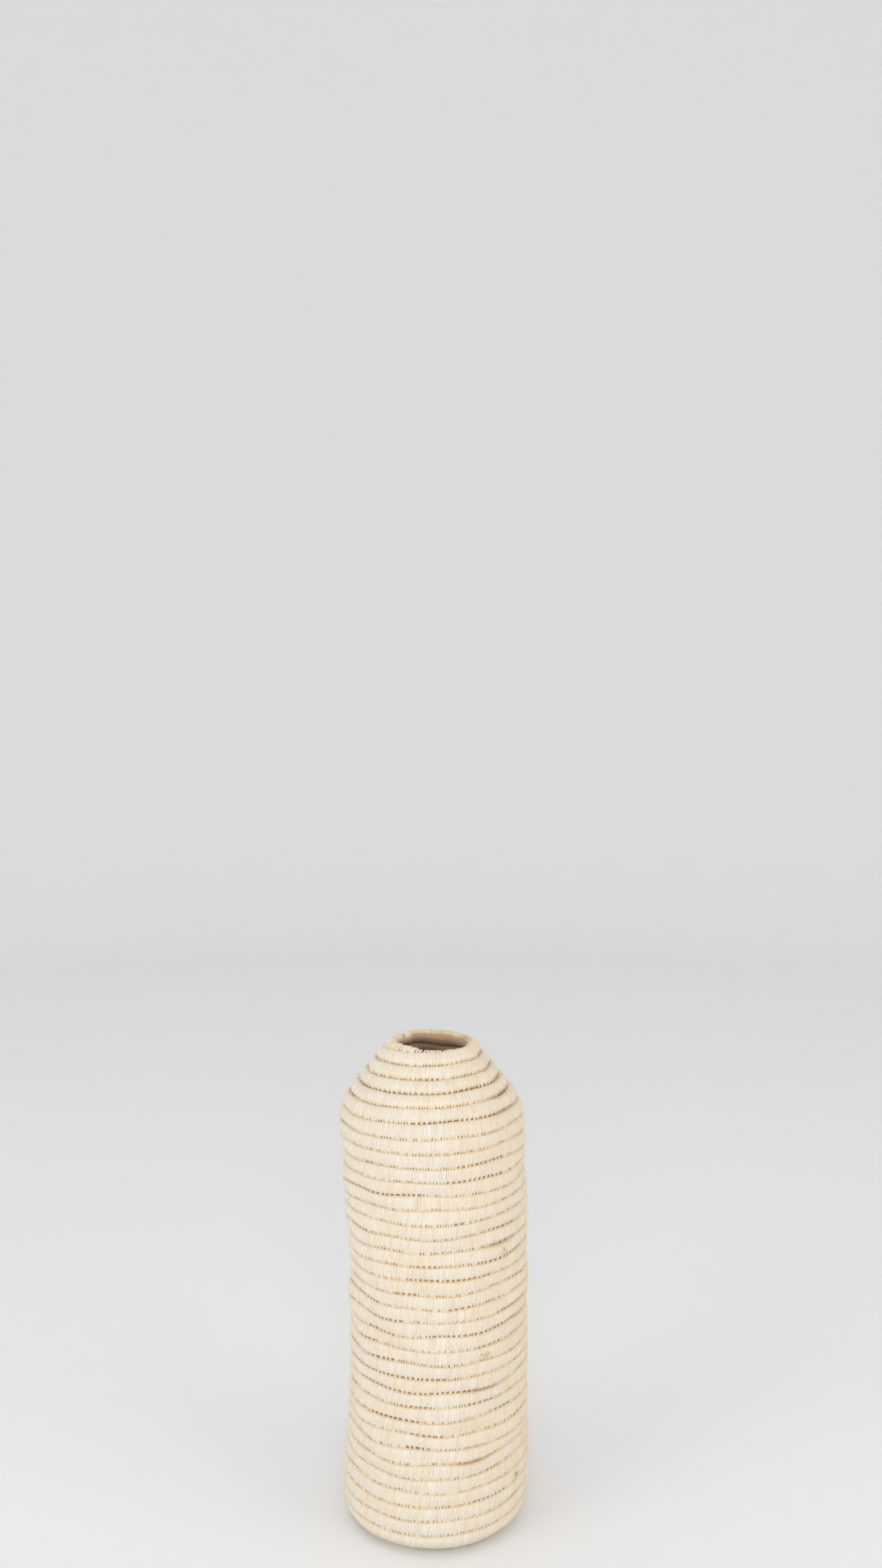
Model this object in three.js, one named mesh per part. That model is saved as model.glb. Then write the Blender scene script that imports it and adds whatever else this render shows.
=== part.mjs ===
// A coiled raffia vase in millimetres, +Z up, with its origin at the middle of the base, on the
// surface it stands on. The vase is one long fibre coil wrapped in raffia. It starts at the middle
// of the base, winds outwards as a flat spiral, climbs at the edge of the base to make the wall,
// leans in over the shoulder, and ends in a tapered tail on the rim. Every turn lies on the turn
// before it and is stitched to it, and each turn is a node of its own.
import * as THREE from "three";

// The coil.
const PITCH = 8.63; // between the centres of neighbouring turns in the wall
const GAP = 0.3; // clearance between neighbouring turns, and between one turn's end and the next
const THICKNESS = 8.6; // the coil in the wall, measured from the inside of the vase to the outside
const FLAT_SHARE = 0.48; // width of the faces that meet the neighbouring turns, as a share
const BULGE_SHARE = 0.46; // height of the faces that look out of and into the vase, as a share
const NECK_GROWTH = 0.08; // how much thicker the coil is at the rim than in the wall, as a share

// The shape that the coil is wound to.
const WALL_RADIUS = 55; // from the axis to the middle of the coil in the wall
const WAIST_DEPTH = 1.8; // how far the wall draws in at half its height
const EYE_RADIUS = 0.6; // the hole that is left in the middle of the base
const CORNER_TURNS = 0.8; // turns over which the base spiral stops growing
const LEAN_START = 34.7; // turn where the wall starts to lean in
const LEAN_TURNS = 2.5; // turns over which it reaches its full lean
const LEAN_STEP = 5.8; // how much smaller each leaning turn is than the one below it
const SWAY = 2.8; // how far the hand-made wall bows to one side below the height given here
const SWAY_HEIGHT = 220; // above this height the wall bows back to the other side

// Where each stretch of the coil starts, counted in turns from the middle of the base.
const BASE_START = 1;
const WALL_START = 6;
const SHOULDER_START = 34;
const NECK_START = 38;
const RIM_START = 40;
const TAIL_START = 41;
const TAIL_END = 41.45;
const TAIL_TIP_SIZE = 0.3; // the tail's thickness at its tip, as a share of the coil's

// How finely the coil is faceted, and where each turn starts: at the back of the vase.
const SECTIONS_PER_TURN = 24;
const SEAM_ANGLE = Math.PI / 2;

const CORNER_START = WALL_RADIUS / PITCH - CORNER_TURNS / 2;
const BASE_MATERIAL = raffia(0xdccbaa);
const WALL_MATERIAL = raffia(0xe9dcc2);
const RIM_MATERIAL = raffia(0xe4d3b3);

function raffia(color) {
  return new THREE.MeshStandardMaterial({ color, roughness: 0.75, metalness: 0 });
}

// A slope that grows from 0 to 1 over a length, added up to x.
function easedSlope(x, length) {
  if (x <= 0) return 0;
  return x < length ? (x * x) / (2 * length) : x - length / 2;
}

function waist(turn) {
  const share = (turn - WALL_START) / (SHOULDER_START - WALL_START);
  return share > 0 && share < 1 ? WAIST_DEPTH * Math.sin(Math.PI * share) ** 2 : 0;
}

// From the axis to the middle of the coil, after so many turns.
function radiusAt(turn) {
  const spiral = PITCH * (turn - easedSlope(turn - CORNER_START, CORNER_TURNS));
  return spiral - waist(turn) - LEAN_STEP * easedSlope(turn - LEAN_START, LEAN_TURNS);
}

// The coil's thickness as a share of its thickness in the wall, leaving out the tail's taper.
function growthAt(turn) {
  const share = THREE.MathUtils.smoothstep(turn, SHOULDER_START, RIM_START);
  return 1 + NECK_GROWTH * share;
}

// Between the middle of this turn and the middle of the one before.
function pitchAt(turn) {
  return (PITCH * (growthAt(turn) + growthAt(turn - 1))) / 2;
}

// A turn that can't lie beside the one before it climbs onto it, and stays one pitch away.
function heightAt(turn) {
  if (turn <= CORNER_START) return THICKNESS / 2;
  const step = radiusAt(turn) - radiusAt(turn - 1);
  return heightAt(turn - 1) + Math.sqrt(Math.max(0, pitchAt(turn) ** 2 - step ** 2));
}

// What is left of the coil where the tail tapers, as a share.
function taperAt(turn) {
  const along = Math.max(0, (turn - TAIL_START) / (TAIL_END - TAIL_START));
  return 1 - (1 - TAIL_TIP_SIZE) * along;
}

// The middle of the coil as (radius, height), and half its size towards its neighbours.
function coilAt(turn) {
  if (turn < BASE_START) {
    // The first turn is tapered, so that it fills the middle of the spiral.
    const inner = Math.max(EYE_RADIUS, PITCH * (turn - 0.5) + GAP / 2);
    const outer = PITCH * (turn + 0.5) - GAP / 2;
    const middle = new THREE.Vector2((inner + outer) / 2, THICKNESS / 2);
    return { middle, half: (outer - inner) / 2 };
  }
  const middle = new THREE.Vector2(radiusAt(turn), heightAt(turn));
  const taper = taperAt(turn);
  if (taper < 1) {
    const below = new THREE.Vector2(radiusAt(turn - 1), heightAt(turn - 1));
    middle.lerpVectors(below, middle, (1 + taper) / 2);
  }
  return { middle, half: (taper * (growthAt(turn) * PITCH - GAP)) / 2 };
}

// The direction from the turn before to this one, as (radius, height).
function stackDirection(turn) {
  if (turn <= CORNER_START) return new THREE.Vector2(1, 0);
  const here = new THREE.Vector2(radiusAt(turn), heightAt(turn));
  const before = new THREE.Vector2(radiusAt(turn - 1), heightAt(turn - 1));
  return here.sub(before).normalize();
}

// Out of the vase, at right angles to a stacking direction.
function outwards(direction) {
  return new THREE.Vector2(direction.y, -direction.x);
}

// The eight corners of the coil's section: a face on the turn before, one for the turn after,
// and a bulge on the outside and on the inside. It is pressed flat where it meets the ground.
function sectionAt(turn) {
  const { middle, half } = coilAt(turn);
  const before = stackDirection(turn);
  const after = stackDirection(Math.min(turn + 1, TAIL_START));
  const along = before.clone().add(after).normalize();
  const across = outwards(along);
  const thick = (taperAt(turn) * growthAt(turn) * THICKNESS) / 2;
  const flat = FLAT_SHARE * thick;
  const bulge = BULGE_SHARE * half;
  const corner = (a, da, b, db) =>
    middle.clone().addScaledVector(a, da).addScaledVector(b, db);
  const corners = [
    corner(before, -half, outwards(before), flat),
    corner(across, thick, along, -bulge),
    corner(across, thick, along, bulge),
    corner(after, half, outwards(after), flat),
    corner(after, half, outwards(after), -flat),
    corner(across, -thick, along, bulge),
    corner(across, -thick, along, -bulge),
    corner(before, -half, outwards(before), -flat),
  ];
  return corners.map((point) => point.setY(Math.max(0, point.y)));
}

function place(point, angle) {
  const sway = SWAY * Math.sin((Math.PI * point.y) / SWAY_HEIGHT);
  return [point.x * Math.cos(angle) + sway, point.x * Math.sin(angle), point.y];
}

// A closed solid through sections that all have the same number of corners.
function loft(sections) {
  const corners = sections[0].length;
  const index = [];
  for (let s = 0; s + 1 < sections.length; s++) {
    for (let c = 0; c < corners; c++) {
      const a = s * corners + c;
      const b = s * corners + ((c + 1) % corners);
      index.push(a, a + corners, b, b, a + corners, b + corners);
    }
  }
  const last = (sections.length - 1) * corners;
  for (let c = 1; c + 1 < corners; c++) {
    index.push(0, c, c + 1);
    index.push(last, last + c + 1, last + c);
  }
  const geometry = new THREE.BufferGeometry();
  geometry.setAttribute("position", new THREE.Float32BufferAttribute(sections.flat(2), 3));
  geometry.setIndex(index);
  geometry.computeVertexNormals();
  return geometry;
}

// One stretch of the coil. It stops short of the next one by the gap.
function coilStretch(name, from, to, material) {
  const gapInTurns = GAP / (2 * Math.PI * coilAt(to).middle.x);
  const end = to - gapInTurns;
  const turns = [];
  for (let step = 0; from + step / SECTIONS_PER_TURN < end - gapInTurns; step++) {
    turns.push(from + step / SECTIONS_PER_TURN);
  }
  turns.push(end);
  const sections = turns.map((turn) => {
    const angle = SEAM_ANGLE + 2 * Math.PI * turn;
    return sectionAt(turn).map((point) => place(point, angle));
  });
  const mesh = new THREE.Mesh(loft(sections), material);
  mesh.name = name;
  return mesh;
}

function stackOfTurns(name, from, to, material) {
  const group = new THREE.Group();
  for (let turn = from; turn < to; turn++) {
    const number = String(turn - from + 1).padStart(2, "0");
    group.add(coilStretch(`${name}_${number}`, turn, turn + 1, material));
  }
  return group;
}

const vase = new THREE.Group();
vase.add(coilStretch("base_start", 0, BASE_START, BASE_MATERIAL));
vase.add(stackOfTurns("base_turn", BASE_START, WALL_START, BASE_MATERIAL));
vase.add(stackOfTurns("wall_turn", WALL_START, SHOULDER_START, WALL_MATERIAL));
vase.add(stackOfTurns("shoulder_turn", SHOULDER_START, NECK_START, WALL_MATERIAL));
vase.add(stackOfTurns("neck_turn", NECK_START, RIM_START, WALL_MATERIAL));
vase.add(coilStretch("rim_turn", RIM_START, TAIL_START, RIM_MATERIAL));
vase.add(coilStretch("rim_tail", TAIL_START, TAIL_END, RIM_MATERIAL));

export default vase;
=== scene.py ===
"""The looks of the coiled raffia vase: every turn of the coil wrapped in raffia strands, stitched
to the turn before it, with its tapered tail overcast on the rim, on a pale studio sweep."""

import math

import bpy
import numpy as np
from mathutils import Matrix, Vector


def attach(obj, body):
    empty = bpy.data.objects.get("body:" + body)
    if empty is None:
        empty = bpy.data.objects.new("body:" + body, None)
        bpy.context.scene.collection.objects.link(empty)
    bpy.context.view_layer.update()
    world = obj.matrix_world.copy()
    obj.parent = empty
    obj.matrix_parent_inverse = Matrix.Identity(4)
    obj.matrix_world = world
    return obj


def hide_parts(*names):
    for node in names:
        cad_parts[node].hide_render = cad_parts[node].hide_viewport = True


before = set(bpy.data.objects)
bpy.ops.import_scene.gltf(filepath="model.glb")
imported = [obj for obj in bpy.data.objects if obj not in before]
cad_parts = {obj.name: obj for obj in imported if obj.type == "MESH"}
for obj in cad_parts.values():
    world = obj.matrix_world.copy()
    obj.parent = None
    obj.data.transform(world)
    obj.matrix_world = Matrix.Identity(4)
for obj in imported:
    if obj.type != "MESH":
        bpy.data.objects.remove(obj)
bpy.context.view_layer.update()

MM = 0.001

# The coil, with the dimensions of the CAD part. A position along the coil is counted in turns.
PITCH = 8.63 * MM
THICKNESS = 8.6 * MM
NECK_GROWTH = 0.08
WALL_RADIUS = 55 * MM
WAIST_DEPTH = 1.8 * MM
EYE_RADIUS = 0.6 * MM
CORNER_TURNS = 0.8
LEAN_START = 34.7
LEAN_TURNS = 2.5
LEAN_STEP = 5.8 * MM
SWAY = 2.8 * MM
SWAY_HEIGHT = 220 * MM
BASE_START = 1
WALL_START = 6
SHOULDER_START = 34
NECK_START = 38
RIM_START = 40
TAIL_START = 41
TAIL_END = 41.45
TAIL_TIP_SIZE = 0.3
SEAM_ANGLE = math.pi / 2
ARC_STEPS = 600
CORNER_START = WALL_RADIUS / PITCH - CORNER_TURNS / 2

# The swells and lumps of the bundle inside the wrapping.
SWELL_SHARE = 0.035
LUMP_HEIGHT = 0.24 * MM

# The raffia strands wound round the coil. Each is a flat-topped ridge.
WRAP_WIDTH = 1.15 * MM
WRAP_UNEVENNESS = 0.3
WRAP_RISE = 0.11 * MM
RIDGE_DEPTH = 0.26 * MM
RIDGE_SHARE_AT_SEAM = 0.4
RIDGE_STEPS = (0.0, 0.3, 0.7)
RIDGE_HEIGHTS = (0.0, 1.0, 1.0)
WRAP_LEAN = 0.1

# The coil's section: the angles of its corners, how square it is, and where it turns from the
# direction of the turn before to that of the turn after. The crown is how much further out the
# middle of its face is than the edges.
FRONT_DEGREES = (-90, -76, -62, -46, -28, -10, 10, 28, 46, 62, 76, 90)
SECTION_DEGREES = FRONT_DEGREES + (108, 128, 158, 202, 232, 252)
CLOSED_POWER = 3.5
OPEN_POWER = 2.9
INNER_POWER = 3.0
DIRECTION_BLEND = (-0.6, 0.6)
CROWN = 0.6 * MM
SHOULDER_CROWN = 1.1 * MM

# A flat strand's section, as (sideways, outwards) shares of half its width and its thickness,
# and how far its fibre pattern moves on from one strand to the next.
STRAP_SECTION = [(-1, -0.5), (-0.6, 0.9), (0, 0.6), (0.6, 0.9), (1, -0.5), (0, -0.8)]
STRAP_UV_STEP = 7

# The strands that tie each turn to the one before, and the loops that hold the tail.
TIE_SPACING = 1.65 * MM
TIE_UNEVENNESS = 0.3
TIE_POINTS = 12
TIE_WIDTH = 1.3 * MM
TIE_WIDTH_SHARES = (0.7, 1.4)
TIE_NARROWING = 0.4
TIE_NARROWING_ZONE = (0.75, 1)
TIE_THICKNESS = 0.18 * MM
TIE_REACH = 0.8 * MM
TIE_REACH_SHARES = (0.6, 1.25)
TIE_TOP_SHARES = (-0.6, -0.25)
TIE_TOP_SINK = 0.3 * MM
TIE_TOP_ZONE = (0, 0.5)
TIE_END_SINK = 0.65 * MM
TIE_END_ZONE = (0.8, 1)
TIE_LEAN = 0.1
TIE_LEAN_SPREAD = 0.18
TIE_HOLD = 0.8
# The painted shade and tan at the ties' lower ends, where they dive into the seam.
TIE_SHADE = 0.04
TIE_LEAST_TAN = 0.1
TIE_TAN = 0.65
TIE_TAN_SPREAD = 0.35
TIE_TAN_ZONE = (0.4, 1.0)
CLOSED_SHARE = 0.42
LOOP_START = 41.1
LOOP_SPACING = 1.7 * MM
LOOP_UNEVENNESS = 0.35
LOOP_POINTS = 15
LOOP_DEGREES = (-62, 236)
LOOP_WIDTHS = (1.4 * MM, 2.3 * MM)
LOOP_THICKNESS = 0.5 * MM
LOOP_LEAN_SPREAD = 0.3
LOOP_WANDER = 0.2 * MM
LOOP_SLACK = 2 * MM
LOOP_SLACK_SHARES = (0.1, 0.9)
LOOP_KNOBS = 5
LOOP_KNOB_SHIFT = 40
LOOP_KNOB_SHARE = 0.3
LOOP_REACH = 1.2 * MM
LOOP_GROWTH = (LOOP_START - 0.01, LOOP_START + 0.08)
LOOP_LEAST_SIZE = 0.5
LOOP_TANS = (0.1, 0.8)
LOOP_SHADES = (0, 0.25)
LOOP_SHADE_POWER = 1.5
# Where the loops' inner side gets painted shade.
LOOP_INSIDE_ZONE = (0.3, 1.0)
LAST_LOOP = 41.62
LAST_LOOP_SPACING = 2.3 * MM
LAST_LOOP_SINK = 0.5 * MM
LAST_LOOP_LEAST_SIZE = 0.2

# How far the seams gape: the stretches that do, and the turns low on the wall that gape less.
GAPING_RANGE = (-0.35, 1.15)
LOW_SEAMS_END = 15
LOW_SEAMS_CLOSED = 0.6

# Where a new strand was spliced in, in turns, and the short ends that show there.
SPLICES = (9.66, 12.1, 15.9, 19.58, 22.2, 26.62, 31.1, 36.2)
SPLICE_ENDS = 7
SPLICE_POINTS = 9
SPLICE_SCATTER = 0.0045
SPLICE_LENGTH = 4 * MM
SPLICE_LENGTH_SHARES = (0.4, 1)
SPLICE_SLANT = 0.7
SPLICE_PLACES = (-1.4 * MM, 1.0 * MM)
SPLICE_MARGIN = 0.9
SPLICE_SINK = 0.25 * MM
SPLICE_RISES = (0.5 * MM, 1.0 * MM)
SPLICE_CURL = 0.5 * MM
SPLICE_WIDTHS = (0.7 * MM, 1.3 * MM)
SPLICE_TIP_SHARE = 0.4
SPLICE_SHADES = (0.1, 0.45)
SPLICE_TANS = (0.6, 1.0)

# The middles of the stained stretches of seam and half the length of each, in turns, and how
# brown they are at most.
STAINS = (12.56, 17.58, 27.62, 36.66, 37.67, 38.7)
STAIN_REACH = 0.06
STAIN_DEPTH = 0.65

# The loose fibres that stand off the seams.
FIBRES_PER_TURN = 26
FIBRE_POINTS = 6
FIBRE_ROOT_DEPTH = 1.2 * MM
FIBRE_LEAST_HEIGHT = 0.2 * MM
FIBRE_LENGTH = 5 * MM
FIBRE_LENGTH_SHARES = (0.3, 1.0)
FIBRE_TILT = -0.4
FIBRE_TILT_SPREAD = 0.7
FIBRE_CURL = 0.9
FIBRE_STRAY = 0.8
FIBRE_STRAY_POWER = 1.5
FIBRE_NARROWING = 0.8
FIBRE_WIDTH = 0.09 * MM
FIBRE_SHADE = 0.1
FIBRE_TAN = 0.6

# How much tan each place on the coil gets, from 0 to 1. The tan at the seams and in the valleys
# between strands is painted shade, warm like the grooves' shade; the yellow patches and the
# yellower side are the raffia's own colour.
SEAM_ZONE = (0.55, 1.0)
SEAM_TAN = 0.5
UPPER_TAN = 1.0
LOWER_TAN = 0.6
MIDDLE_TAN = 0.45
VALLEY_TAN = 0.5
YELLOW_TAN = 0.2
YELLOW_PATCHES = (0.2, 0.9)
YELLOW_SIDE = 0.25
YELLOW_SIDE_ZONE = (-0.1, 1.0)
# Where the coil's inner side gets painted shade: the vase's inside darkened to brown.
INSIDE_ZONE = (0.0, 0.5)

# How much brown shade each place on the coil gets, from 0 to 1: painted shade in the seams' gaps,
# between strands and on the coil's inside, with random brown stretches along the seams and the
# stains added.
GAP_SHARPNESS = 6
CLOSED_SHADE = 0.1
GAPING_SHADE = 0.75
SURE_SHADE = 0.2
INSIDE_SHADE = 0.9
BROWN_SHADE = 0.4
BROWN_STRETCHES = (0.72, 0.98)
VALLEY_SHADE = 0.17
TEETH_SHADE = 0.085
DEEP_TEETH_SHADE = 0.51
STAIN_ZONE = (0.1, 0.9)
STAIN_ON_RIDGES = 0.35

# Edges sharper than this stay sharp, so that the coil's cut ends don't shade its sides.
SHARP_DEGREES = 65

# The hand-made unevenness of the whole wall, as a sum of waves.
WARP_WAVES = 24
WARP_LENGTH = 24 * MM
WARP_PUSH = 0.17 * MM
WARP_LIFT = 0.11 * MM
WARP_SEED = 21
WARP_MOST_ROUNDS = 8
WARP_FADE_AT_FLOOR = (2 * MM, 45 * MM)
WARP_FADE_AT_RIM = (255 * MM, 300 * MM)
WARP_LOST_AT_RIM = 0.7

# The seed of the first piece's random draws. Each piece has the next one.
FIRST_SEED = 100

# The raffia's colours: the strands from the yellowest to the palest, then what is mixed in, and
# how much of each at most. The tan is partly painted shade at the seams, the inside colour is
# painted shade on the vase's inside, and the shade colour is painted shade in the gaps and between
# strands as well as the brown of stains and splices.
STRAND_COLOURS = [
    (0.0, (0.80, 0.72, 0.585, 1)),
    (0.3, (0.83, 0.77, 0.67, 1)),
    (0.7, (0.835, 0.785, 0.70, 1)),
    (1.0, (0.86, 0.82, 0.755, 1)),
]
WARM_COLOUR = (0.80, 0.66, 0.45, 1)
TAN_COLOUR = (0.83, 0.63, 0.36, 1)
INSIDE_SHADE_COLOUR = (0.42, 0.235, 0.13, 1)
SHADE_COLOUR = (0.32, 0.15, 0.045, 1)
STREAK_WEIGHT = 0.75
WARM_WEIGHT = 0.45
TAN_WEIGHT = 0.75
INSIDE_SHADE_WEIGHT = 0.75
SHADE_WEIGHT = 0.85

# The raffia's fibres and blotches: how many there are to a metre across and along a strand, how
# fine their noise is, and the greys it gives, as (noise, grey) stops.
FIBRE_SCALE = (5200, 260, 1)
FIBRE_DETAIL = 3.0
STREAK_GREYS = [(0.3, 0.86), (0.62, 1.0)]
ROUGHNESS_GREYS = [(0.25, 0.86), (0.75, 0.58)]
BLOTCH_SCALE = (240, 90, 1)
BLOTCH_DETAIL = 4.0
BLOTCH_GREYS = [(0.42, 0.0), (0.68, 1.0)]
FIBRE_RELIEF = 0.12 * MM
FIBRE_RELIEF_STRENGTH = 0.45
RAFFIA_SPECULAR = 0.35
RAFFIA_SHEEN = 0.12

# The studio: a floor that bends up into a wall, a pale world and three round lamps, each a
# name, a place, a size and a power in watts.
STUDIO_GREY = 0.88
STUDIO_ROUGHNESS = 0.9
STUDIO_SPECULAR = 0.1
HUB_RADIUS = 0.5
FLOOR_RADIUS = 2.2
BEND_RADIUS = 1.2
BEND_STEPS = 12
WALL_TOP = 3.0
SWEEP_SIDES = 96
WORLD_STRENGTH = 0.78
LAMPS = (
    ("key_light", (-1.6, -1.2, 0.9), 1.4, 9.1),
    ("fill_light", (1.7, -1.1, 0.9), 1.6, 7.2),
    ("low_light", (0.0, -2.4, 1.0), 1.4, 15.5),
)
LAMP_TARGET = (0, 0, 0.15)

# The camera, which looks along +Y and a little down.
CAMERA_PLACE = (0.0042, -0.803, 0.4867)
CAMERA_DOWN_DEGREES = 1.285
LENS_MM = 28.6
SENSOR_MM = 36


def smoothstep(value, low, high):
    share = np.clip((value - low) / (high - low), 0, 1)
    return share * share * (3 - 2 * share)


def eased_slope(x, length):
    """A slope that grows from 0 to 1 over a length, added up to x."""
    return np.where(x <= 0, 0, np.where(x < length, x * x / (2 * length), x - length / 2))


def radius_at(turn):
    spiral = PITCH * (turn - eased_slope(turn - CORNER_START, CORNER_TURNS))
    share = np.clip((turn - WALL_START) / (SHOULDER_START - WALL_START), 0, 1)
    waist = WAIST_DEPTH * np.sin(math.pi * share) ** 2
    return spiral - waist - LEAN_STEP * eased_slope(turn - LEAN_START, LEAN_TURNS)


def growth_at(turn):
    return 1 + NECK_GROWTH * smoothstep(turn, SHOULDER_START, RIM_START)


def pitch_at(turn):
    return PITCH * (growth_at(turn) + growth_at(turn - 1)) / 2


def height_at(turn):
    height = np.full(np.shape(turn), THICKNESS / 2)
    for below in range(math.ceil(TAIL_END)):
        here = turn - below
        step = radius_at(here) - radius_at(here - 1)
        rise = np.sqrt(np.maximum(0, pitch_at(here) ** 2 - step**2))
        height = height + np.where(here > CORNER_START, rise, 0)
    return height


def taper_at(turn):
    along = np.maximum(0, (turn - TAIL_START) / (TAIL_END - TAIL_START))
    return 1 - (1 - TAIL_TIP_SIZE) * along


def middle_at(turn):
    """The middle of the coil as rows of (radius, height)."""
    middle = np.stack([radius_at(turn), height_at(turn)], -1)
    below = np.stack([radius_at(turn - 1), height_at(turn - 1)], -1)
    taper = taper_at(turn)[:, None]
    middle = below + (middle - below) * (1 + taper) / 2 if np.any(taper < 1) else middle
    inner = np.maximum(EYE_RADIUS, PITCH * (turn - 0.5))
    start = np.stack([(inner + PITCH * (turn + 0.5)) / 2, np.full(turn.shape, THICKNESS / 2)], -1)
    return np.where(turn[:, None] < BASE_START, start, middle)


def half_at(turn):
    """Half the coil's size towards its neighbours."""
    inner = np.maximum(EYE_RADIUS, PITCH * (turn - 0.5))
    start = (PITCH * (turn + 0.5) - inner) / 2
    return np.where(turn < BASE_START, start, taper_at(turn) * growth_at(turn) * PITCH / 2)


def stack_direction(turn):
    """From the turn before to this one, as rows of (radius, height)."""
    here = np.stack([radius_at(turn), height_at(turn)], -1)
    before = np.stack([radius_at(turn - 1), height_at(turn - 1)], -1)
    step = here - before
    step = step / np.linalg.norm(step, axis=-1, keepdims=True)
    return np.where(turn[:, None] <= CORNER_START, np.array([1.0, 0.0]), step)


def outwards(direction):
    return np.stack([direction[..., 1], -direction[..., 0]], -1)


def place(point, angle):
    """A (radius, height) point at an angle round the vase, in space."""
    radius, height = point[..., 0], point[..., 1]
    x = radius * np.cos(angle) + SWAY * np.sin(math.pi * height / SWAY_HEIGHT)
    return np.stack([x, radius * np.sin(angle), height], -1)


def angle_at(turn):
    return SEAM_ANGLE + 2 * math.pi * turn


def warp(vertices):
    """Moves points as an uneven hand moves the wall, so that neighbouring turns stay together."""
    rng = np.random.default_rng(WARP_SEED)
    x, y, height = vertices[..., 0], vertices[..., 1], vertices[..., 2]
    angle = np.arctan2(y, x)
    push, lift = np.zeros(height.shape), np.zeros(height.shape)
    for _ in range(WARP_WAVES):
        round_it = rng.integers(1, WARP_MOST_ROUNDS + 1)
        up_it = rng.uniform(-1, 1) * 2 * math.pi / WARP_LENGTH
        phase = rng.uniform(0, 2 * math.pi, 2)
        push += WARP_PUSH * np.sin(round_it * angle + up_it * height + phase[0])
        lift += WARP_LIFT * np.sin(round_it * angle - up_it * height + phase[1])
    fade = smoothstep(height, *WARP_FADE_AT_FLOOR)
    fade = fade * (1 - WARP_LOST_AT_RIM * smoothstep(height, *WARP_FADE_AT_RIM))
    radius = np.maximum(np.hypot(x, y), PITCH)
    stretch = 1 + push * fade / radius
    return np.stack([x * stretch, y * stretch, height + lift * fade], -1)


def wobble(seed, spacing):
    """Smooth noise from -1 to 1 along the whole coil, with a knot at every spacing, in turns."""
    count = math.ceil((TAIL_END + 2) / spacing)
    values = np.random.default_rng(seed).uniform(-1, 1, count)

    def at(turn):
        place_in = (turn + 1) / spacing
        low = np.floor(place_in).astype(int)
        share = place_in - low
        share = share * share * (3 - 2 * share)
        return values[low % count] * (1 - share) + values[(low + 1) % count] * share

    return at


LUMPS = wobble(11, 0.031)
SWELLS = wobble(12, 0.13)
TAN_PATCHES = wobble(14, 0.09)
BROWN_PATCHES = wobble(15, 0.22)
OPEN_SEAMS = wobble(16, 0.06)


def arc_lengths(start, end):
    """Turns along a stretch of the coil, and the length of the coil up to each."""
    turns = np.linspace(start, end, ARC_STEPS)
    radii = middle_at(turns)[:, 0] + THICKNESS / 4
    steps = 2 * math.pi * (radii[1:] + radii[:-1]) / 2 * np.diff(turns)
    return turns, np.concatenate([[0], np.cumsum(steps)])


def open_share(turn):
    """How far the seam below the coil gapes between its stitches, from 0 to 1."""
    low_down = 1 - smoothstep(turn, WALL_START, LOW_SEAMS_END)
    return smoothstep(OPEN_SEAMS(turn), *GAPING_RANGE) * (1 - LOW_SEAMS_CLOSED * low_down)


def stain_at(turns):
    """How stained the seam below the coil is, from 0 to 1."""
    nearest = np.abs(turns[:, None] - np.array(STAINS)).min(axis=1)
    return 1 - smoothstep(nearest, 0, STAIN_REACH)


def uneven_stops(start, end, spacing, unevenness, rng):
    """Turns at uneven steps of about a spacing, from start to end."""
    turns, lengths = arc_lengths(start, end)
    count = max(4, round(lengths[-1] / spacing))
    steps = rng.uniform(1 - unevenness, 1 + unevenness, count)
    stops = np.concatenate([[0], np.cumsum(steps)])
    return np.interp(stops / stops[-1] * lengths[-1], lengths, turns)


def face_depth(share, power):
    """How far out the coil's face is, for a share of the way from its middle to its neighbour."""
    return (1 - share**power) ** (1 / power)


def crown_at(turns):
    """How much further out the middle of the coil's face is than its edges."""
    return CROWN + (SHOULDER_CROWN - CROWN) * smoothstep(turns, SHOULDER_START - 1, NECK_START)


def section_directions(turns, sine):
    """The directions from the turn before and to the one after, blended round the section."""
    before = stack_direction(turns)[:, None]
    after = stack_direction(np.minimum(turns + 1, TAIL_START))[:, None]
    share = smoothstep(sine, *DIRECTION_BLEND)[..., None]
    along = before * (1 - share) + after * share
    return along / np.linalg.norm(along, axis=-1, keepdims=True)


def thickness_at(turns):
    """Half the coil's size outwards, with its swells and lumps."""
    even = growth_at(turns) * taper_at(turns) * THICKNESS / 2
    return even * (1 + SWELL_SHARE * SWELLS(turns)) + LUMP_HEIGHT * LUMPS(turns)


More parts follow.
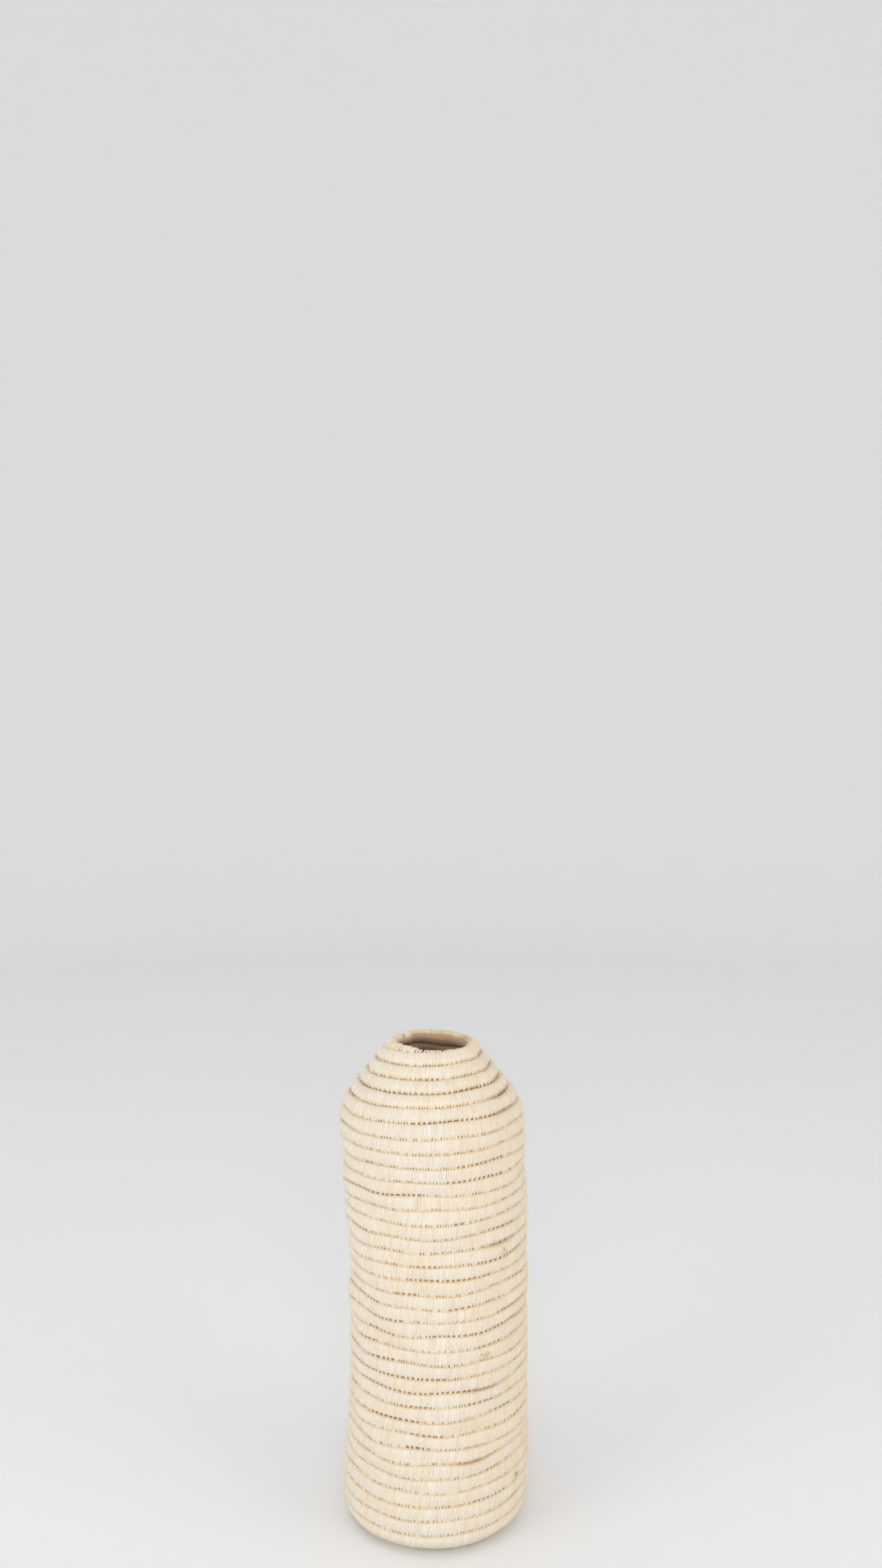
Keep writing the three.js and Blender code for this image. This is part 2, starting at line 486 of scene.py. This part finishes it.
def shade_and_tan_masks(turns, sine, cosine, ridge, gape, hole):
    """The painted shade (with brown stretches and stains), the tan (partly painted shade at the
    seams) and the inside's painted shade, each from 0 to 1.
    """
    seam = smoothstep(np.abs(sine), *SEAM_ZONE)
    valley = (1 - ridge)[:, None]
    tan = MIDDLE_TAN + MIDDLE_TAN * TAN_PATCHES(turns)[:, None]
    yellow = smoothstep(TAN_PATCHES(turns), *YELLOW_PATCHES)[:, None]
    yellow_side = smoothstep(np.cos(angle_at(turns)), *YELLOW_SIDE_ZONE)[:, None]
    # Tan at the seams and in the valleys between strands is painted shade; the yellow is colour.
    patch = seam * SEAM_TAN + np.where(sine > 0, UPPER_TAN, LOWER_TAN) * seam * tan
    patch = patch + VALLEY_TAN * valley + YELLOW_TAN * yellow + YELLOW_SIDE * yellow_side

    # Painted shade on the coil's inner side, for the vase's inside.
    inside = smoothstep(-cosine, *INSIDE_ZONE)
    brown = smoothstep(BROWN_PATCHES(turns), *BROWN_STRETCHES)[:, None] * seam
    # Painted shade in the seams' gaps between the tie strands, inside, and in the valleys between
    # strands; random brown stretches along the seams and the stains are added.
    gaps = (CLOSED_SHADE + GAPING_SHADE * gape**2) * (SURE_SHADE + (1 - SURE_SHADE) * hole)
    dark = np.maximum(gaps, INSIDE_SHADE * inside)
    teeth = valley * seam * (TEETH_SHADE + DEEP_TEETH_SHADE * hole)
    shade = seam**GAP_SHARPNESS * dark + BROWN_SHADE * brown + VALLEY_SHADE * valley + teeth
    stain = np.where(sine > 0, stain_at(turns + 1)[:, None], stain_at(turns)[:, None])
    stain = stain * smoothstep(np.abs(sine), *STAIN_ZONE)
    stain = stain * (STAIN_ON_RIDGES + (1 - STAIN_ON_RIDGES) * valley)
    return np.clip(shade + STAIN_DEPTH * stain, 0, 1), np.clip(patch, 0, 1), inside


def wrapped_coil(start, end, rng):
    """One stretch of the wrapped coil: vertices, faces, the painted shade and tint masks and the
    strand's UVs.
    """
    edges = uneven_stops(start, end, WRAP_WIDTH, WRAP_UNEVENNESS, rng)
    wraps = len(edges) - 1
    steps = np.array(RIDGE_STEPS)
    turns = (edges[:-1, None] + np.diff(edges)[:, None] * steps).ravel()
    turns = np.append(turns, end)
    ridge = np.append(np.tile(RIDGE_HEIGHTS, wraps), 0.0)
    wrap_of = np.append(np.repeat(np.arange(wraps), len(steps)), wraps - 1)
    proud = rng.normal(0, WRAP_RISE, wraps)[wrap_of] * ridge
    tint = rng.random(wraps)[wrap_of]
    hole = rng.random(wraps)[wrap_of][:, None]

    half_out = thickness_at(turns)
    half_up = half_at(turns)
    angles = np.radians(SECTION_DEGREES)
    sine, cosine = np.sin(angles)[None, :], np.cos(angles)[None, :]
    gape = np.where(sine > 0, open_share(turns + 1)[:, None], open_share(turns)[:, None])
    face_power = CLOSED_POWER + (OPEN_POWER - CLOSED_POWER) * gape
    power = 2 / np.where(cosine < 0, INNER_POWER, face_power)
    out = np.sign(cosine) * np.abs(cosine) ** power * half_out[:, None]
    up = np.sign(sine) * np.abs(sine) ** power * half_up[:, None]
    relief = ((ridge - 1) * RIDGE_DEPTH + proud)[:, None]
    relief = relief * (RIDGE_SHARE_AT_SEAM + (1 - RIDGE_SHARE_AT_SEAM) * cosine**2)
    out = out + np.sign(out) * relief
    crown = crown_at(turns)[:, None] * (up / half_up[:, None]) ** 2
    out = out - np.sign(out) * crown * np.abs(cosine)

    along = section_directions(turns, sine)
    points = middle_at(turns)[:, None] + outwards(along) * out[..., None] + along * up[..., None]
    # The underside is pressed flat, just above the tie strands that cross it.
    pressed = (1 - ridge) * RIDGE_DEPTH + TIE_THICKNESS
    points[..., 1] = np.maximum(points[..., 1], pressed[:, None])
    lean = WRAP_LEAN * up / np.maximum(points[..., 0], WRAP_WIDTH)
    vertices = warp(place(points, angle_at(turns)[:, None] + lean))

    shade, patch, inside = shade_and_tan_masks(turns, sine, cosine, ridge, gape, hole)
    masks = (shade, tint[:, None], patch, inside)
    shade_and_tint = np.stack([np.broadcast_to(mask, out.shape) for mask in masks], -1)
    lengths = np.interp(turns, *arc_lengths(start, end))
    out_steps = np.diff(out, axis=1, prepend=out[:, :1])
    up_steps = np.diff(up, axis=1, prepend=up[:, :1])
    girth = np.cumsum(np.hypot(out_steps, up_steps), axis=1)
    uv = np.stack([np.broadcast_to(lengths[:, None], girth.shape), girth], -1)
    faces = tube_faces(len(turns), len(angles))
    return vertices.reshape(-1, 3), faces, shade_and_tint.reshape(-1, 4), uv.reshape(-1, 2)


def tube_faces(rings, corners):
    """The quads and the two end caps of a closed tube."""
    ring = np.arange(rings - 1)[:, None] * corners
    corner = np.arange(corners)[None, :]
    following = (corner + 1) % corners
    quads = np.stack(
        [ring + corner, ring + corners + corner, ring + corners + following, ring + following], -1
    )
    last = (rings - 1) * corners
    start_cap = list(range(corners))
    end_cap = [last + c for c in reversed(range(corners))]
    return quads.reshape(-1, 4).tolist() + [start_cap, end_cap]


def straps(path, angle, shift, width, thickness, masks):
    """Flat strands that each follow a path of (radius, height) points at an angle of its own."""
    count, steps = path.shape[:2]
    tangent = np.gradient(path, axis=1)
    normal = outwards(tangent / np.linalg.norm(tangent, axis=-1, keepdims=True))
    corners = np.array(STRAP_SECTION)
    side = corners[:, 0] * width[..., None] / 2 + shift[..., None]
    raised = (corners[:, 1] * thickness)[:, None]
    points = path[:, :, None] + normal[:, :, None] * raised
    points[..., 1] = np.maximum(points[..., 1], 0)
    radius = np.maximum(points[..., 0], PITCH / 2)
    vertices = warp(place(points, angle[:, None, None] + side / radius))
    length = np.cumsum(np.linalg.norm(np.diff(path, axis=1, prepend=path[:, :1]), axis=-1), axis=1)
    shade_and_tint = np.stack([np.broadcast_to(mask, side.shape) for mask in masks], -1)
    across = side + STRAP_UV_STEP * angle[:, None, None]
    uv = np.stack([across, np.broadcast_to(length[..., None], side.shape)], -1)
    one = tube_faces(steps, len(corners))
    size = steps * len(corners)
    faces = [[corner + number * size for corner in face] for number in range(count) for face in one]
    return vertices.reshape(-1, 3), faces, shade_and_tint.reshape(-1, 4), uv.reshape(-1, 2)


def on_face(turns, up, proud):
    """Points on the outer face of the coil, and past its seam on the face of the turn before.
    They bridge the seam, no deeper than the face is at TIE_HOLD of the way to it."""
    half = half_at(turns)[:, None]
    share = np.minimum(np.abs((up / half + 1) % 2 - 1), TIE_HOLD)
    out = thickness_at(turns)[:, None] * face_depth(share, CLOSED_POWER) + proud
    out = out - crown_at(turns)[:, None] * share**2
    part = np.clip(up / half, -1, 1)
    along = section_directions(turns, np.sign(part) * np.abs(part) ** (CLOSED_POWER / 2))
    return middle_at(turns)[:, None] + outwards(along) * out[..., None] + along * up[..., None]


def tie_strands(start, end, rng):
    """The strands that come down the coil's face and cross the seam into the turn before."""
    turns = uneven_stops(start, end, TIE_SPACING, TIE_UNEVENNESS, rng)[:-1]
    # Where the seam gapes, only every other strand crosses it.
    turns = turns[(np.arange(len(turns)) % 2 == 0) | (open_share(turns) < CLOSED_SHARE)]
    count = len(turns)
    half = half_at(turns)[:, None]
    way = np.linspace(0, 1, TIE_POINTS)
    reach = TIE_REACH * rng.uniform(*TIE_REACH_SHARES, (count, 1))
    top = rng.uniform(*TIE_TOP_SHARES, (count, 1)) * half
    up = top * (1 - way) - (half + reach) * way
    top_sink = TIE_TOP_SINK * (1 - smoothstep(way, *TIE_TOP_ZONE))
    end_sink = TIE_END_SINK * smoothstep(way, *TIE_END_ZONE)
    path = on_face(turns, up, -top_sink - end_sink)
    lean = rng.normal(TIE_LEAN, TIE_LEAN_SPREAD, (count, 1)) * (up + half)
    width = TIE_WIDTH * rng.uniform(*TIE_WIDTH_SHARES, (count, 1))
    width = width * (1 - TIE_NARROWING * smoothstep(way, *TIE_NARROWING_ZONE))
    # The lower end of each tie, where it dives into the seam, gets tan and a little painted shade,
    # as the seam does; stains are added where the seam is stained.
    low = smoothstep(-up / half, *TIE_TAN_ZONE)[..., None]
    tan = TIE_TAN + TIE_TAN_SPREAD * TAN_PATCHES(turns)[:, None, None]
    stain_and_shade = TIE_SHADE + STAIN_DEPTH * stain_at(turns)[:, None, None]
    masks = (stain_and_shade * low, rng.random(count)[:, None, None], low * tan + TIE_LEAST_TAN, 0.0)
    return straps(path, angle_at(turns), lean, width, TIE_THICKNESS, masks)


def splice_ends(turn, rng):
    """The short loose ends left where a new strand begins."""
    count = SPLICE_ENDS
    turns = turn + rng.normal(0, SPLICE_SCATTER, count)
    way = np.linspace(0, 1, SPLICE_POINTS)
    length = SPLICE_LENGTH * rng.uniform(*SPLICE_LENGTH_SHARES, (count, 1))
    slant = rng.uniform(-SPLICE_SLANT, SPLICE_SLANT, (count, 1))
    middle = rng.uniform(*SPLICE_PLACES, (count, 1))
    edge = SPLICE_MARGIN * half_at(turns)[:, None]
    up = np.clip(middle + length * np.cos(slant) * (way - 0.5), -edge, edge)
    arch = np.sin(math.pi * way)
    proud = rng.uniform(*SPLICE_RISES, (count, 1)) * arch - SPLICE_SINK
    path = on_face(turns, up, proud)
    shift = length * np.sin(slant) * (way - 0.5) + SPLICE_CURL * np.sin(2 * math.pi * way)
    width = rng.uniform(*SPLICE_WIDTHS, (count, 1))
    width = width * (SPLICE_TIP_SHARE + (1 - SPLICE_TIP_SHARE) * arch)
    masks = (
        rng.uniform(*SPLICE_SHADES, count)[:, None, None],
        rng.random(count)[:, None, None],
        rng.uniform(*SPLICE_TANS, count)[:, None, None],
        0.0,
    )
    return straps(path, angle_at(turns), shift, width, TIE_THICKNESS, masks)


def overcast_loops(rng):
    """The uneven loops that bind the tail down onto the rim."""
    dense = uneven_stops(LOOP_START, TAIL_END, LOOP_SPACING, LOOP_UNEVENNESS, rng)
    sparse = uneven_stops(TAIL_END, LAST_LOOP, LAST_LOOP_SPACING, LOOP_UNEVENNESS, rng)
    turns = np.concatenate([dense, sparse])
    count = len(turns)
    here, before = middle_at(turns), middle_at(turns - 1)
    up_way = here - before
    up_way = up_way / np.linalg.norm(up_way, axis=-1, keepdims=True)
    out_way = outwards(up_way)
    round_it = np.radians(np.linspace(*LOOP_DEGREES, LOOP_POINTS))
    least = np.where(turns < TAIL_END, LOOP_LEAST_SIZE, LAST_LOOP_LEAST_SIZE)
    swell = LOOP_SLACK * least[:, None] * rng.uniform(*LOOP_SLACK_SHARES, (count, 1))
    knobs = np.sin(LOOP_KNOBS * round_it + LOOP_KNOB_SHIFT * turns[:, None])
    swell = swell * (1 + LOOP_KNOB_SHARE * knobs)
    swell = swell * smoothstep(turns, *LOOP_GROWTH)[:, None]
    here = here - up_way * np.where(turns < TAIL_END, 0, LAST_LOOP_SINK)[:, None]
    half_out = (growth_at(turns) * THICKNESS / 2 * np.maximum(least, taper_at(turns)))[:, None]
    half_up = np.maximum(half_at(turns), 0.5 * least * half_at(turns - 1))[:, None]
    out = np.cos(round_it) * (half_out + swell)
    up = np.sin(round_it) * (half_up + swell) - np.maximum(0, -np.sin(round_it)) * LOOP_REACH
    path = here[:, None] + out_way[:, None] * out[..., None] + up_way[:, None] * up[..., None]
    lean = rng.normal(0, LOOP_LEAN_SPREAD, (count, 1)) * up
    lean = lean + rng.normal(0, LOOP_WANDER, (count, LOOP_POINTS))
    width = rng.uniform(*LOOP_WIDTHS, (count, 1)) * np.ones(LOOP_POINTS)
    # The loops' inner side gets painted shade, as the coil's inside does.
    masks = (
        rng.uniform(*LOOP_SHADES, count)[:, None, None] ** LOOP_SHADE_POWER,
        rng.random(count)[:, None, None],
        rng.uniform(*LOOP_TANS, count)[:, None, None],
        smoothstep(-np.cos(round_it), *LOOP_INSIDE_ZONE)[None, :, None],
    )
    return straps(path, angle_at(turns), lean, width, LOOP_THICKNESS, masks)


def loose_fibres(start, end, rng):
    """Thin hairs that stand off the seams and narrow to their tips."""
    count = FIBRES_PER_TURN
    way = np.linspace(0, 1, FIBRE_POINTS)
    turns = rng.uniform(start, end, count)
    depth = (thickness_at(turns) - FIBRE_ROOT_DEPTH)[:, None]
    root = middle_at(turns) - stack_direction(turns) * half_at(turns)[:, None]
    root = root + outwards(stack_direction(turns)) * depth
    length = FIBRE_LENGTH * rng.uniform(*FIBRE_LENGTH_SHARES, (count, 1))
    tilt = rng.normal(FIBRE_TILT, FIBRE_TILT_SPREAD, (count, 1))
    curl = rng.normal(0, FIBRE_CURL, (count, 1))
    bend = tilt + curl * way
    step = length / (FIBRE_POINTS - 1)
    radius = root[:, :1] + np.cumsum(np.cos(bend) * step, axis=1)
    height = root[:, 1:] + np.cumsum(np.sin(bend) * step, axis=1)
    height = np.maximum(height, FIBRE_LEAST_HEIGHT)
    sideways = rng.normal(0, FIBRE_STRAY, (count, 1)) * length * way**FIBRE_STRAY_POWER
    path = np.stack([radius, height], -1)
    width = (1 - FIBRE_NARROWING * way) * FIBRE_WIDTH * np.ones((count, 1))
    masks = (FIBRE_SHADE, rng.random(count)[:, None, None], FIBRE_TAN, 0.0)
    return straps(path, angle_at(turns), sideways, width, FIBRE_WIDTH / 2, masks)


def joined(parts):
    """Several (vertices, faces, shade_and_tint, uv) parts as one."""
    faces, offset = [], 0
    for vertices, part_faces, _, _ in parts:
        faces += [[corner + offset for corner in face] for face in part_faces]
        offset += len(vertices)
    vertices, shade_and_tint, uv = (np.concatenate([part[i] for part in parts]) for i in (0, 2, 3))
    return vertices, faces, shade_and_tint, uv


def add_piece(name, parts, material, node):
    """A piece of the vase, which stands for a CAD node."""
    vertices, faces, shade_and_tint, uv = joined(parts)
    mesh = bpy.data.meshes.new(name)
    mesh.from_pydata(vertices.tolist(), [], faces)
    mesh.polygons.foreach_set("use_smooth", np.ones(len(mesh.polygons), bool))
    mesh.set_sharp_from_angle(angle=math.radians(SHARP_DEGREES))
    colours = mesh.color_attributes.new("shade_and_tint", "FLOAT_COLOR", "POINT")
    colours.data.foreach_set("color", shade_and_tint.astype(np.float32).ravel())
    corners = np.empty(len(mesh.loops), np.int32)
    mesh.loops.foreach_get("vertex_index", corners)
    layer = mesh.uv_layers.new(name="strand")
    layer.data.foreach_set("uv", uv[corners].astype(np.float32).ravel())
    mesh.materials.append(material)
    piece = bpy.data.objects.new(name, mesh)
    bpy.context.scene.collection.objects.link(piece)
    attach(piece, "root")
    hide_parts(node)


def grey(value):
    return (value, value, value, 1.0)


class Nodes:
    """A short way to write a material's nodes."""

    def __init__(self, name):
        self.material = bpy.data.materials.new(name)
        self.material.use_nodes = True
        self.tree = self.material.node_tree
        self.shader = self.tree.nodes["Principled BSDF"]

    def add(self, kind, inputs=None, **settings):
        node = self.tree.nodes.new(kind)
        for key, value in settings.items():
            setattr(node, key, value)
        for key, value in (inputs or {}).items():
            self.feed(node.inputs[key], value)
        return node

    def feed(self, socket, value):
        if isinstance(value, bpy.types.NodeSocket):
            self.tree.links.new(value, socket)
        else:
            socket.default_value = value

    def times(self, a, b):
        node = self.add("ShaderNodeMath", {0: a, 1: b}, operation="MULTIPLY")
        return node.outputs[0]

    def noise(self, place_on, scale, detail):
        """Noise from 0 to 1 over a surface, stretched by a scale for each direction."""
        mapped = self.add("ShaderNodeMapping", {"Vector": place_on, "Scale": scale})
        inputs = {"Vector": mapped.outputs[0], "Scale": 1.0, "Detail": detail}
        return self.add("ShaderNodeTexNoise", inputs).outputs["Fac"]

    def mix(self, share, a, b, blend="MIX"):
        node = self.add("ShaderNodeMix", data_type="RGBA", blend_type=blend)
        self.feed(node.inputs["Factor"], share)
        self.feed(node.inputs["A"], a)
        self.feed(node.inputs["B"], b)
        return node.outputs["Result"]

    def ramp(self, share, stops):
        node = self.add("ShaderNodeValToRGB", {"Fac": share})
        elements = node.color_ramp.elements
        while len(elements) < len(stops):
            elements.new(1.0)
        for element, (position, colour) in zip(elements, stops):
            element.position = position
            element.color = colour
        return node.outputs["Color"]

    def grey_ramp(self, share, stops):
        return self.ramp(share, [(position, grey(value)) for position, value in stops])


def raffia_material():
    """Pale raffia: a tint of its own for each strand, fibres along it, tan and brown at seams,
    which are painted shade with brown stains, and painted shade inside.
    """
    n = Nodes("raffia")
    shade_and_tint = n.add("ShaderNodeAttribute", attribute_name="shade_and_tint")
    split = n.add("ShaderNodeSeparateColor", {"Color": shade_and_tint.outputs["Color"]})
    shade, tint, patch = split.outputs[0], split.outputs[1], split.outputs[2]
    inside = shade_and_tint.outputs["Alpha"]
    strand = n.add("ShaderNodeUVMap", uv_map="strand").outputs["UV"]

    fibre = n.noise(strand, FIBRE_SCALE, FIBRE_DETAIL)
    blotch = n.noise(strand, BLOTCH_SCALE, BLOTCH_DETAIL)

    body = n.ramp(tint, STRAND_COLOURS)
    streak = n.grey_ramp(fibre, STREAK_GREYS)
    body = n.mix(STREAK_WEIGHT, body, streak, "MULTIPLY")
    warm = n.grey_ramp(blotch, BLOTCH_GREYS)
    body = n.mix(n.times(warm, WARM_WEIGHT), body, WARM_COLOUR)
    # Tan: partly painted shade at the seams and between strands.
    body = n.mix(n.times(patch, TAN_WEIGHT), body, TAN_COLOUR)
    # Painted shade on the vase's inside.
    body = n.mix(n.times(inside, INSIDE_SHADE_WEIGHT), body, INSIDE_SHADE_COLOUR)
    # Painted shade in the gaps and between strands, with the brown of stains and splices.
    body = n.mix(n.times(shade, SHADE_WEIGHT), body, SHADE_COLOUR)
    n.feed(n.shader.inputs["Base Color"], body)

    rough = n.grey_ramp(fibre, ROUGHNESS_GREYS)
    n.feed(n.shader.inputs["Roughness"], rough)
    n.shader.inputs["Specular IOR Level"].default_value = RAFFIA_SPECULAR
    n.shader.inputs["Sheen Weight"].default_value = RAFFIA_SHEEN
    bump = n.add("ShaderNodeBump", {
        "Height": fibre,
        "Strength": FIBRE_RELIEF_STRENGTH,
        "Distance": FIBRE_RELIEF,
    })
    n.feed(n.shader.inputs["Normal"], bump.outputs["Normal"])
    return n.material


def studio_material():
    """Matt pale paint."""
    n = Nodes("studio_sweep")
    n.shader.inputs["Base Color"].default_value = grey(STUDIO_GREY)
    n.shader.inputs["Roughness"].default_value = STUDIO_ROUGHNESS
    n.shader.inputs["Specular IOR Level"].default_value = STUDIO_SPECULAR
    return n.material


def build_coil():
    """Every turn of the coil, one piece for each CAD node."""
    raffia = raffia_material()
    groups = [
        ("base_turn", BASE_START, WALL_START),
        ("wall_turn", WALL_START, SHOULDER_START),
        ("shoulder_turn", SHOULDER_START, NECK_START),
        ("neck_turn", NECK_START, RIM_START),
    ]
    stretches = [("base_start", 0, BASE_START)]
    for group, start, end in groups:
        stretches += [(f"{group}_{t - start + 1:02d}", t, t + 1) for t in range(start, end)]
    stretches += [("rim_turn", RIM_START, TAIL_START), ("rim_tail", TAIL_START, TAIL_END)]
    for number, (node, start, end) in enumerate(stretches):
        rng = np.random.default_rng(FIRST_SEED + number)
        parts = [wrapped_coil(start, end, rng)]
        if start >= BASE_START:
            parts.append(tie_strands(start, end, rng))
        if start >= WALL_START:
            parts.append(loose_fibres(start, end, rng))
        if start == TAIL_START:
            parts.append(overcast_loops(rng))
        parts += [splice_ends(turn, rng) for turn in SPLICES if start <= turn < end]
        add_piece(f"raffia_{node}", parts, raffia, node)


def studio_sweep():
    """A floor that curves up into a wall all the way round."""
    profile = [(HUB_RADIUS, 0.0), (FLOOR_RADIUS, 0.0)]
    for step in range(1, BEND_STEPS + 1):
        a = math.pi / 2 * step / BEND_STEPS
        profile.append((FLOOR_RADIUS + BEND_RADIUS * math.sin(a), BEND_RADIUS * (1 - math.cos(a))))
    profile.append((FLOOR_RADIUS + BEND_RADIUS, WALL_TOP))
    vertices = [(0.0, 0.0, 0.0)]
    for radius, height in profile:
        for side in range(SWEEP_SIDES):
            a = 2 * math.pi * side / SWEEP_SIDES
            vertices.append((radius * math.cos(a), radius * math.sin(a), height))
    faces = [(0, 1 + s, 1 + (s + 1) % SWEEP_SIDES) for s in range(SWEEP_SIDES)]
    for ring in range(len(profile) - 1):
        low = 1 + ring * SWEEP_SIDES
        high = low + SWEEP_SIDES
        for s in range(SWEEP_SIDES):
            t = (s + 1) % SWEEP_SIDES
            faces.append((low + s, high + s, high + t, low + t))
    mesh = bpy.data.meshes.new("studio_sweep")
    mesh.from_pydata(vertices, [], faces)
    mesh.polygons.foreach_set("use_smooth", np.ones(len(mesh.polygons), bool))
    mesh.materials.append(studio_material())
    sweep = bpy.data.objects.new("studio_sweep", mesh)
    bpy.context.scene.collection.objects.link(sweep)


def round_lamp(name, location, size, power):
    """A round area lamp that faces the vase, and that the camera doesn't see."""
    light = bpy.data.lights.new(name, "AREA")
    light.shape = "DISK"
    light.size = size
    light.energy = power
    lamp = bpy.data.objects.new(name, light)
    bpy.context.scene.collection.objects.link(lamp)
    lamp.location = location
    lamp.visible_camera = False
    way = Vector(LAMP_TARGET) - lamp.location
    lamp.rotation_euler = way.to_track_quat("-Z", "Y").to_euler()


def studio_light():
    """An even white world, and the lamps."""
    world = bpy.data.worlds.new("studio_world")
    world.use_nodes = True
    background = world.node_tree.nodes["Background"]
    background.inputs["Color"].default_value = grey(1.0)
    background.inputs["Strength"].default_value = WORLD_STRENGTH
    bpy.context.scene.world = world
    for lamp in LAMPS:
        round_lamp(*lamp)


def camera():
    """The camera, in front of the vase and above it."""
    lens = bpy.data.cameras.new("camera")
    lens.sensor_width = SENSOR_MM
    lens.lens = LENS_MM
    eye = bpy.data.objects.new("camera", lens)
    bpy.context.scene.collection.objects.link(eye)
    eye.location = CAMERA_PLACE
    eye.rotation_euler = (math.radians(90 - CAMERA_DOWN_DEGREES), 0, 0)
    bpy.context.scene.camera = eye


camera()
build_coil()
studio_sweep()
studio_light()
bpy.context.scene.view_settings.view_transform = "Standard"
